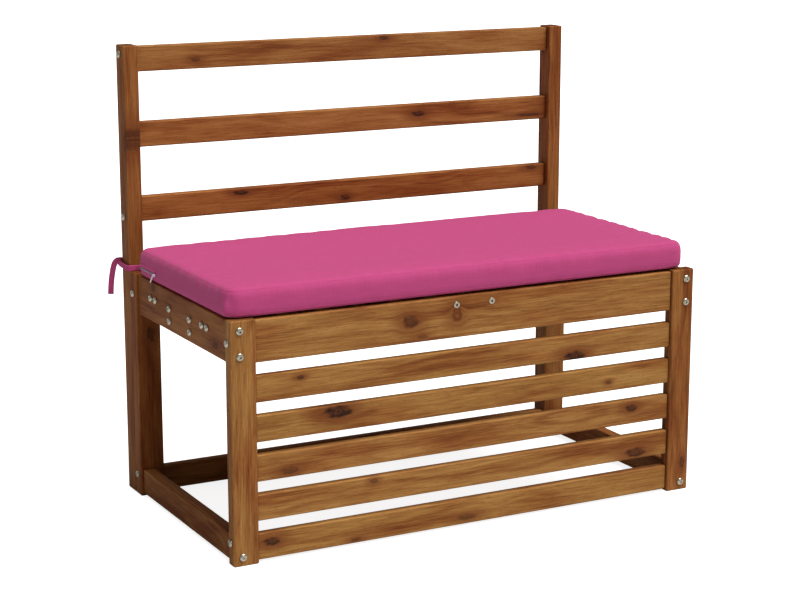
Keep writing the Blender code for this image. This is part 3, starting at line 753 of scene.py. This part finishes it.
def plan_ring(count, share_from=0.0, share_to=1.0):
    """Points and outward directions round the cushion in plan, from the left end of its front,
    anticlockwise seen from above, by share of the way round."""
    inner_low = cover_low + Vector((CORNER_RADIUS, CORNER_RADIUS, 0))
    inner_high = cover_high - Vector((CORNER_RADIUS, CORNER_RADIUS, 0))
    width, depth = inner_high.x - inner_low.x, inner_high.y - inner_low.y
    turn = CORNER_RADIUS * pi / 2
    runs = [
        (width, Vector((inner_low.x, cover_low.y)), Vector((1, 0)), 0),
        (turn, Vector((inner_high.x, inner_low.y)), None, -90),
        (depth, Vector((cover_high.x, inner_low.y)), Vector((0, 1)), 0),
        (turn, Vector((inner_high.x, inner_high.y)), None, 0),
        (width, Vector((inner_high.x, cover_high.y)), Vector((-1, 0)), 0),
        (turn, Vector((inner_low.x, inner_high.y)), None, 90),
        (depth, Vector((cover_low.x, inner_high.y)), Vector((0, -1)), 0),
        (turn, Vector((inner_low.x, inner_low.y)), None, 180),
    ]
    total = sum(run[0] for run in runs)
    for i in range(count):
        way = total * (share_from + (share_to - share_from) * i / (count - 1))
        way %= total
        for length, start, heading, angle in runs:
            if way <= length:
                break
            way -= length
        if heading is None:
            bearing = radians(angle) + way / CORNER_RADIUS
            out = Vector((cos(bearing), sin(bearing)))
            yield start + CORNER_RADIUS * out, out
        else:
            yield start + way * heading, Vector((heading.y, -heading.x))


def on_cover(flat, out, height, tilt=0.0):
    """The point and outward direction on the stuffed cover, looking in from outside at a tilt."""
    away = Vector((out.x * cos(tilt), out.y * cos(tilt), sin(tilt)))
    aim = Vector((flat.x, flat.y, height)) - 0.010 * away
    hit, normal, _, _ = cover_surface.ray_cast(aim + 0.05 * away, -away)
    return (hit, normal) if hit else (aim, away)


def swept(bm, path, outs, profile, closed=False):
    """Wraps a grid round a path. A profile point is (across, out): out lies along the given
    outward direction, and across at right angles to it and to the path. The map follows."""
    layer = bm.loops.layers.uv.verify()
    loop = profile + profile[:1]
    rows = len(path) + (1 if closed else 0)
    made = bmesh.ops.create_grid(bm, x_segments=len(loop) - 1, y_segments=rows - 1, size=1)["verts"]
    made.sort(key=lambda vert: (round(vert.co.y, 5), vert.co.x))
    place_of = {}
    way = 0.0
    for row in range(rows):
        here = path[row % len(path)]
        after = path[(row + 1) % len(path)] if closed or row + 1 < len(path) else here
        before = path[row - 1] if closed or row > 0 else here
        heading = (after - before).normalized()
        out = (outs[row % len(path)] - heading * outs[row % len(path)].dot(heading)).normalized()
        across = heading.cross(out)
        if row:
            way += (here - path[row - 1]).length
        girth = 0.0
        for column, (side, rise) in enumerate(loop):
            if column:
                girth += hypot(side - loop[column - 1][0], rise - loop[column - 1][1])
            vert = made[row * len(loop) + column]
            vert.co = here + side * across + rise * out
            place_of[vert] = (way, girth)
    for face in {face for vert in made for face in vert.link_faces}:
        for corner in face.loops:
            corner[layer].uv = place_of[corner.vert]
    bmesh.ops.remove_doubles(bm, verts=made, dist=0.000005)
    if not closed:
        bmesh.ops.holes_fill(bm, edges=[edge for edge in bm.edges if len(edge.link_faces) == 1])


def mapped_shape():
    """An empty shape with the cloth's own map."""
    bm = bmesh.new()
    bm.loops.layers.uv.new("lay")
    return bm


def sewn_on(name, shape, cloth):
    """Makes the finished shape a cloth piece of the cushion."""
    bmesh.ops.recalc_face_normals(shape, faces=shape.faces)
    return new_piece(name, shape, cloth, "cushion")


def round_profile(radius, count=8, flat=1.0):
    turns = [2 * pi * i / count for i in range(count)]
    return [(radius * cos(turn), flat * radius * sin(turn)) for turn in turns]


pink_seam = pink_cloth("pink_seam")
for name, height, tilt in (
    ("upper_seam", cover_high.z - 0.0005, radians(42)),
    ("lower_seam", cover_low.z + 0.0045, radians(-30)),
):
    ring = [on_cover(flat, out, height, tilt) for flat, out in plan_ring(SEAM_STEPS + 1)][:-1]
    seam = mapped_shape()
    sunk = [point - SEAM_SINK * out for point, out in ring]
    swept(seam, sunk, [out for _, out in ring], round_profile(SEAM_RADIUS), closed=True)
    sewn_on(name, seam, pink_seam)


# ---------------- Zip
# A coil zip runs round the rear of the boxing strip, 110 mm along each side, so that the cover can
# be washed. Its lilac tape shows under a narrow welt of the pink cloth.

TAPE_HALF_WIDTH = 0.0019
ZIP_STEP = 0.004
TOOTH_PITCH = 0.0016
TOOTH_SIZE = Vector((0.0007, 0.0013, 0.0007))  # along the zip, across it and out
TOOTH_RISE = 0.0008
WELT_PROFILE = [
    (-0.0092, -0.0006),
    (-0.0088, 0.0004),
    (-0.0046, 0.0012),
    (-0.0036, 0.0013),
    (-0.0033, 0.0008),
    (-0.0042, -0.0004),
]
TAPE_PROFILE = [
    (-TAPE_HALF_WIDTH, -0.0003),
    (-TAPE_HALF_WIDTH, 0.0004),
    (TAPE_HALF_WIDTH, 0.0004),
    (TAPE_HALF_WIDTH, -0.0003),
]
LILAC = (0.47, 0.36, 0.47, 1)
LILAC_DARK = (0.30, 0.22, 0.31, 1)
ZIP_WHITE = (0.78, 0.72, 0.78, 1)
ZIP_WHITE_DULL = (0.66, 0.60, 0.66, 1)


def plain_finish(name, first, second, scale, roughness):
    """A finish of two near shades in small patches, with a slight unevenness of the surface."""
    material, tree, shader = new_material(name)
    patches = cloud(tree, add(tree, "TexCoord").outputs["Object"], (scale,) * 3, 3.0, 0.6).outputs[0]
    tree.links.new(ramp(tree, patches, ((0.38, first), (0.6, second))), shader.inputs["Base Color"])
    ends = {"Value": patches, "To Min": roughness + 0.12, "To Max": roughness - 0.12}
    tree.links.new(add(tree, "MapRange", ends).outputs[0], shader.inputs["Roughness"])
    emboss(tree, shader, patches, 0.0001, 0.4)
    return material


inner_depth = cover_high.y - cover_low.y - 2 * CORNER_RADIUS
inner_width = cover_high.x - cover_low.x - 2 * CORNER_RADIUS
quarter = CORNER_RADIUS * pi / 2
way_round = 2 * inner_width + 2 * inner_depth + 4 * quarter
zip_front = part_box("zip_tape")[0].y
side_share = zip_front - cover_low.y - CORNER_RADIUS
zip_from = inner_width + quarter + side_share
zip_to = way_round - quarter - side_share
zip_length = zip_to - zip_from


def along_zip(step):
    """Points about a step apart along the zip on the cover, each with its outward direction."""
    ring = plan_ring(int(zip_length / step), zip_from / way_round, zip_to / way_round)
    return [on_cover(flat, out, ZIP_LINE) for flat, out in ring]


zip_line = along_zip(ZIP_STEP)
zip_path = [point for point, _ in zip_line]
zip_outs = [out for _, out in zip_line]

tape_shape = mapped_shape()
swept(tape_shape, zip_path, zip_outs, TAPE_PROFILE)
teeth = along_zip(TOOTH_PITCH)
for (point, out), (ahead, _) in zip(teeth, teeth[1:]):
    heading = (ahead - point).normalized()
    across = heading.cross(out).normalized()
    turn = Matrix((heading, across, out)).transposed().to_4x4()
    for side in (-1, 1):
        spot = point + TOOTH_RISE * out
        spot += side * (0.52 * TOOTH_SIZE.y * across + 0.25 * TOOTH_PITCH * heading)
        tooth = Matrix.Translation(spot) @ turn @ Matrix.Diagonal((*TOOTH_SIZE, 1))
        bmesh.ops.create_cube(tape_shape, size=1, matrix=tooth)
bmesh.ops.recalc_face_normals(tape_shape, faces=tape_shape.faces)
lilac = plain_finish("lilac_zip_tape", LILAC_DARK, LILAC, 900, 0.6)
tape = new_piece("zip_tape_and_teeth", tape_shape, lilac, "cushion")
tape.data.set_sharp_from_angle(angle=radians(40))
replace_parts(tape, "zip_tape")

welt_shape = mapped_shape()
swept(welt_shape, zip_path, zip_outs, WELT_PROFILE)
sewn_on("zip_welt", welt_shape, pink_cloth("pink_welt", (0.0030,)))

# The slider is a small die-cast body, painted white, with a rivet on which its pull swings.
slider_low, slider_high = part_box("zip_slider")
pull_joint = next(joint for joint in frame["joints"] if joint["child"] == "zip_pull")
pin = Vector(pull_joint["pos_m"])
PIN_RADIUS = 0.0008
BODY_DEPTH = 0.0022
SLIDER_TAPER = 0.72
PULL_LEAN = radians(42)
PULL_LENGTH = 0.025
PULL_WIDTH = 0.004
PULL_THICKNESS = 0.001
PULL_TAPER = 0.86
EYE_RADIUS = 0.00125
painted = plain_finish("white_zip_metal", ZIP_WHITE_DULL, ZIP_WHITE, 500, 0.34)

slider_shape = bmesh.new()
bmesh.ops.create_cube(slider_shape, size=1)
body_size = Vector((BODY_DEPTH, slider_high.y - slider_low.y, slider_high.z - slider_low.z))
bmesh.ops.scale(slider_shape, vec=body_size, verts=slider_shape.verts)
rear = [vert for vert in slider_shape.verts if vert.co.y > 0]
bmesh.ops.scale(slider_shape, vec=(1, 1, SLIDER_TAPER), verts=rear)
soften(slider_shape, slider_shape.edges[:], 0.0006, 3)
body_middle = Vector((slider_high.x - BODY_DEPTH / 2, pin.y, pin.z))
bmesh.ops.translate(slider_shape, vec=body_middle, verts=slider_shape.verts)
rivet_from, rivet_to = body_middle.x, slider_low.x + 0.0002
sideways = Matrix.Rotation(-pi / 2, 4, "Y")
rivet_place = Matrix.Translation(((rivet_from + rivet_to) / 2, pin.y, pin.z)) @ sideways
rivet = bmesh.ops.create_cone(
    slider_shape,
    cap_ends=True,
    segments=20,
    radius1=PIN_RADIUS,
    radius2=PIN_RADIUS,
    depth=rivet_from - rivet_to,
    matrix=rivet_place,
)
outer = {vert for vert in rivet["verts"] if vert.co.x < rivet_to + 0.0001}
cap = [edge for edge in slider_shape.edges if outer.issuperset(edge.verts)]
soften(slider_shape, cap, 0.0003, 3)
slider = new_piece("zip_slider_body", slider_shape, painted, "zip_slider")
slider.data.set_sharp_from_angle(angle=radians(50))
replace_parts(slider, "zip_slider")

# The pull is a flat stamped tab that widens to a ring at the rivet.
pull_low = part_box("zip_pull")[0]
pull_shape = bmesh.new()
half_width = PULL_WIDTH / 2
bmesh.ops.create_circle(pull_shape, radius=EYE_RADIUS, segments=24)
tab = bmesh.ops.create_circle(pull_shape, radius=half_width, segments=24)["verts"]
bmesh.ops.bridge_loops(pull_shape, edges=pull_shape.edges[:])
for vert in tab:
    if vert.co.y < -0.0001:
        vert.co.y -= PULL_LENGTH - 2 * half_width
        vert.co.x *= PULL_TAPER
plate = bmesh.ops.extrude_face_region(pull_shape, geom=pull_shape.faces[:] + pull_shape.edges[:])
raised = [item for item in plate["geom"] if isinstance(item, bmesh.types.BMVert)]
bmesh.ops.translate(pull_shape, vec=(0, 0, PULL_THICKNESS), verts=raised)
bmesh.ops.recalc_face_normals(pull_shape, faces=pull_shape.faces)
rims = [edge for edge in pull_shape.edges if edge.calc_face_angle(0) > radians(60)]
soften(pull_shape, rims, 0.0002, 2)
upright = Matrix(((0, 0, 1), (1, 0, 0), (0, 1, 0))).to_4x4()
placed = Matrix.Translation((pull_low.x, pin.y, pin.z)) @ Matrix.Rotation(PULL_LEAN, 4, "X") @ upright
bmesh.ops.transform(pull_shape, matrix=placed, verts=pull_shape.verts)
pull = new_piece("zip_pull_tab", pull_shape, painted, "zip_pull")
pull.data.set_sharp_from_angle(angle=radians(50))
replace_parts(pull, "zip_pull")


# ---------------- Ties
# Two narrow straps of the cushion's cloth, folded and stitched flat, are sewn into each rear corner.
# One comes round the front of the back post and one round its rear, and they are knotted outside it.
# The rest of the rear strap hangs down limp.

TIE_WIDTH = 0.0116
TIE_THICKNESS = 0.0022
TIE_STEP = 0.004
FRONT_TIE_LENGTH = 0.098
BACK_TIE_LENGTH = 0.203
KNOT_SIZE = 0.0019
KNOT_CORD = 0.0020
# The next places are inwards, backwards and up from a back post's outer front corner at seat height.
KNOT_OFFSET = (-0.0062, 0.0470, 0.0108)
FRONT_TIE_ROUTE = (
    (0.0260, -0.0410, 0.0062),
    (0.0255, -0.0340, 0.0060),
    (0.0230, -0.0240, 0.0060),
    (0.0180, -0.0140, 0.0060),
    (0.0110, -0.0070, 0.0060),
    (0.0040, -0.0056, 0.0060),
    (-0.0026, -0.0046, 0.0060),
    (-0.0052, 0.0010, 0.0060),
    (-0.0056, 0.0120, 0.0062),
    (-0.0056, 0.0240, 0.0070),
    (-0.0060, 0.0340, 0.0082),
    (-0.0064, 0.0400, 0.0090),
)
BACK_TIE_ROUTE = (
    (0.0500, -0.0410, 0.0062),
    (0.0495, -0.0330, 0.0062),
    (0.0460, -0.0200, 0.0064),
    (0.0400, -0.0080, 0.0068),
    (0.0370, 0.0040, 0.0072),
    (0.0364, 0.0160, 0.0076),
    (0.0366, 0.0300, 0.0082),
    (0.0368, 0.0400, 0.0088),
    (0.0340, 0.0466, 0.0092),
    (0.0270, 0.0490, 0.0098),
    (0.0180, 0.0494, 0.0106),
    (0.0080, 0.0500, 0.0116),
    (0.0000, 0.0506, 0.0128),
    (-0.0060, 0.0512, 0.0130),
    (-0.0105, 0.0516, 0.0098),
    (-0.0136, 0.0520, 0.0030),
    (-0.0164, 0.0520, -0.0080),
    (-0.0188, 0.0520, -0.0210),
    (-0.0205, 0.0520, -0.0340),
    (-0.0214, 0.0520, -0.0460),
    (-0.0218, 0.0520, -0.0550),
)
BACK_TIE_TURN = (11, 14)  # between these points the strap turns from upright to hanging
HANGING_WIDTH = Vector((0.92, 0.38, 0))


def smooth_route(points, step):
    """Points about a step apart on the Catmull-Rom curve through the given ones."""
    ends = [2 * points[0] - points[1], *points, 2 * points[-1] - points[-2]]
    route = [points[0]]
    for before, start, end, after in zip(ends, ends[1:], ends[2:], ends[3:]):
        count = max(1, round((end - start).length / step))
        for i in range(1, count + 1):
            share = i / count
            bend = (2 * before - 5 * start + 4 * end - after) * share * share
            turn = (3 * start - before - 3 * end + after) * share * share * share
            route.append((2 * start + (end - before) * share + bend + turn) / 2)
    return route


def strap_profile():
    """A folded strap in section: full at its two edges, and thinner along the stitching."""
    half, thick = TIE_WIDTH / 2, TIE_THICKNESS / 2
    upper = [(half, 0), (half - 0.0003, 0.7 * thick), (half - 0.0012, thick)]
    upper += [(0.0022, 0.86 * thick), (0, 0.8 * thick)]
    upper += [(-x, y) for x, y in reversed(upper[:-1])]
    return upper + [(x, -y) for x, y in reversed(upper[1:-1])]


def trefoil(turn):
    """A point of the simplest knot, wound round X, two loops wide."""
    reach = 2 + cos(3 * turn)
    return Vector((sin(3 * turn), reach * cos(2 * turn), reach * sin(2 * turn)))


strap_cloth = pink_cloth("pink_strap", (0.0021, 0.0085))
knot_cloth = pink_cloth("pink_knot")
seat_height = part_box("front_stile_left")[1].z
for side, word in ((-1, "left"), (1, "right")):
    post_low, post_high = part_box(f"back_post_{word}")
    corner = Vector((side * max(abs(post_low.x), abs(post_high.x)), post_low.y, seat_height))
    knotted = mapped_shape()
    middle = corner + Vector((-side * KNOT_OFFSET[0], *KNOT_OFFSET[1:]))
    turns = [2 * pi * i / 72 for i in range(72)]
    strand = [trefoil(turn) * KNOT_SIZE for turn in turns]
    outs = [(point * Vector((3, 1, 1))).normalized() for point in strand]
    swept(knotted, [middle + point for point in strand], outs, round_profile(KNOT_CORD, 10, 0.7), closed=True)
    knot_piece = sewn_on(f"tie_knot_{word}", knotted, knot_cloth)
    for place, route, length, end in (
        ("front", FRONT_TIE_ROUTE, FRONT_TIE_LENGTH, "knot"),
        ("back", BACK_TIE_ROUTE, BACK_TIE_LENGTH, "bare"),
    ):
        points = [corner + Vector((-side * x, y, z)) for x, y, z in route]
        path = smooth_route(points, TIE_STEP)
        widths = []
        for point in path:
            nearest = min(range(len(points)), key=lambda i: (points[i] - point).length)
            start, stop = BACK_TIE_TURN
            turned = min(1, max(0, (nearest - start) / (stop - start))) if place == "back" else 0
            hanging = Vector((side * HANGING_WIDTH.x, HANGING_WIDTH.y, 0))
            widths.append(Vector((0, 0, 1)).lerp(hanging, turned).normalized())
        strap_shape = mapped_shape()
        outs = []
        for i, width in enumerate(widths):
            heading = path[min(i + 1, len(path) - 1)] - path[max(i - 1, 0)]
            outs.append(heading.cross(width).normalized())
        swept(strap_shape, path, outs, strap_profile())
        strap = sewn_on(f"tie_strap_{word}_{place}", strap_shape, strap_cloth)
        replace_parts(strap, f"tie_{word}_{place}")
        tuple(path[0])


# ---------------- Floor, light and camera
# The bench stands on a plain floor under one broad soft light, high up and a little to the front
# right. Floor and surroundings look white to the camera only, and light the bench far less than
# they seem to, so that its left side stays darker than its front.


def studio_floor():
    bm = bmesh.new()
    bmesh.ops.create_grid(bm, x_segments=1, y_segments=1, size=60)
    mesh = bpy.data.meshes.new("floor")
    bm.to_mesh(mesh)
    bm.free()
    material, tree, shader = new_material("pale_floor")
    shader.inputs["Base Color"].default_value = (0.62, 0.62, 0.62, 1)
    shader.inputs["Roughness"].default_value = 0.9
    shader.inputs["Specular IOR Level"].default_value = 0.0
    shader.inputs["Emission Color"].default_value = (1, 1, 1, 1)
    seen = add(tree, "LightPath").outputs["Is Camera Ray"]
    tree.links.new(calc(tree, "MULTIPLY", seen, 0.85), shader.inputs["Emission Strength"])
    mesh.materials.append(material)
    floor = bpy.data.objects.new("floor", mesh)
    bpy.context.scene.collection.objects.link(floor)


def studio_light():
    sun = bpy.data.lights.new("softbox", "SUN")
    sun.energy = 4.05
    sun.angle = radians(44)
    lamp = bpy.data.objects.new("softbox", sun)
    lamp.rotation_euler = Vector((0.24, -0.34, 0.91)).to_track_quat("Z", "Y").to_euler()
    bpy.context.scene.collection.objects.link(lamp)
    world = bpy.data.worlds.new("white_room")
    world.use_nodes = True
    tree = world.node_tree
    background = tree.nodes["Background"]
    background.inputs["Color"].default_value = (1, 1, 1, 1)
    seen = add(tree, "LightPath").outputs["Is Camera Ray"]
    tree.links.new(calc(tree, "MULTIPLY_ADD", seen, 0.80, 0.20), background.inputs["Strength"])
    bpy.context.scene.world = world
    bpy.context.scene.view_settings.view_transform = "Standard"


def studio_camera():
    camera = bpy.data.cameras.new("camera")
    camera.lens = 89.816
    camera.sensor_width = 36
    view = bpy.data.objects.new("camera", camera)
    view.location = (-1.835, -3.4315, 1.2588)
    view.rotation_euler = (radians(90 - 12.567), 0, radians(-27.912))
    bpy.context.scene.collection.objects.link(view)
    bpy.context.scene.camera = view


studio_floor()
studio_light()
studio_camera()
